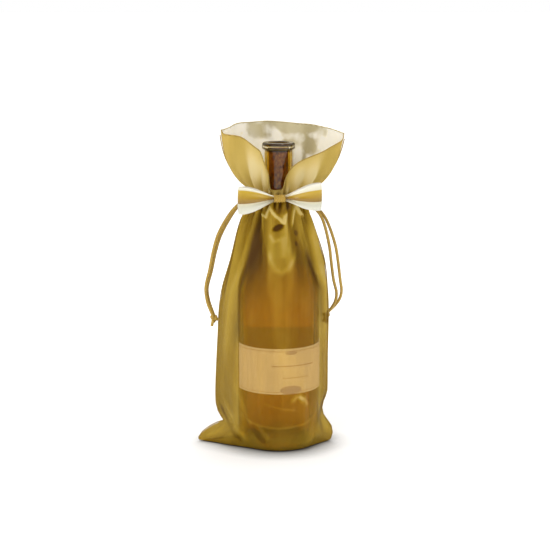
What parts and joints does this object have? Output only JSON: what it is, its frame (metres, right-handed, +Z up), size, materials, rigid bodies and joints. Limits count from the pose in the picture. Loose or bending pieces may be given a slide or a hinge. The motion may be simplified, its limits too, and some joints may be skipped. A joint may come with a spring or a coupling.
{
  "type": "wine gift bag",
  "caption": "Sheer drawstring gift bag gathered round the neck of a corked wine bottle, with a striped satin bow and hanging draw loops.",
  "frame": {"origin": "the middle of the bottle's seat, on the underside of the bag's bottom seam, where it rests on the surface", "axes": "+Z up along the bottle; -Y out of the front, where the bow is; +X to the right of someone who looks at the front"},
  "size_m": [0.1441, 0.0856, 0.3186],
  "materials": {
    "organza": "sheer gold organza with a soft lustre",
    "hem_thread": "rolled hems and sewn seams in the same gold",
    "gold_satin": "lustrous gold ribbon cord",
    "bow_satin": "satin ribbon, cream with a gold stripe along its middle",
    "amber_glass": "clear amber bottle glass",
    "white_wine": "clear golden liquid",
    "label_paper": "uncoated cream paper with a plain printed border",
    "natural_cork": "natural cork"
  },
  "bodies": {
    "bag": {"front_panel": "organza", "back_panel": "organza", "bottom_seam": "hem_thread", "left_side_seam": "hem_thread", "right_side_seam": "hem_thread", "drawstring_casing": "organza", "left_drawstring_ring": "gold_satin", "right_drawstring_ring": "gold_satin", "neck_tie": "gold_satin", "collar_left_lobe": "organza", "collar_right_lobe": "organza", "collar_back": "organza", "collar_left_lobe_hem": "hem_thread", "collar_right_lobe_hem": "hem_thread", "collar_back_hem": "hem_thread", "collar_left_seam": "hem_thread", "collar_right_seam": "hem_thread"},
    "bottle": {"bottle_glass": "amber_glass", "wine": "white_wine", "front_label": "label_paper", "back_label": "label_paper"},
    "cork": {"cork": "natural_cork"},
    "bow": {"bow_ribbon": "bow_satin", "bow_centre_band": "gold_satin", "bow_stitch": "hem_thread"},
    "left_loop": {"left_front_strand": "gold_satin", "left_back_strand": "gold_satin", "left_knot": "gold_satin"},
    "right_loop": {"right_front_strand": "gold_satin", "right_back_strand": "gold_satin", "right_knot": "gold_satin"}
  },
  "joints": [
    {"name": "bottle_turn", "type": "hinge", "parent": "bag", "child": "bottle", "pos_m": [0, 0, 0.1], "axis": [0, 0, 1], "continuous": true},
    {"name": "cork_pull", "type": "slide", "parent": "bottle", "child": "cork", "axis": [0, 0, 1], "range_m": [0, 0.05]},
    {"name": "bow_tilt", "type": "hinge", "parent": "bag", "child": "bow", "pos_m": [0.0012, -0.028, 0.2494], "axis": [0, 1, 0], "range_deg": [-15, 15]},
    {"name": "left_loop_swing", "type": "hinge", "parent": "bag", "child": "left_loop", "pos_m": [-0.0234, 0, 0.2448], "axis": [0, 1, 0], "range_deg": [0, 60]},
    {"name": "right_loop_swing", "type": "hinge", "parent": "bag", "child": "right_loop", "pos_m": [0.0234, 0, 0.2409], "axis": [0, -1, 0], "range_deg": [0, 60]}
  ]
}
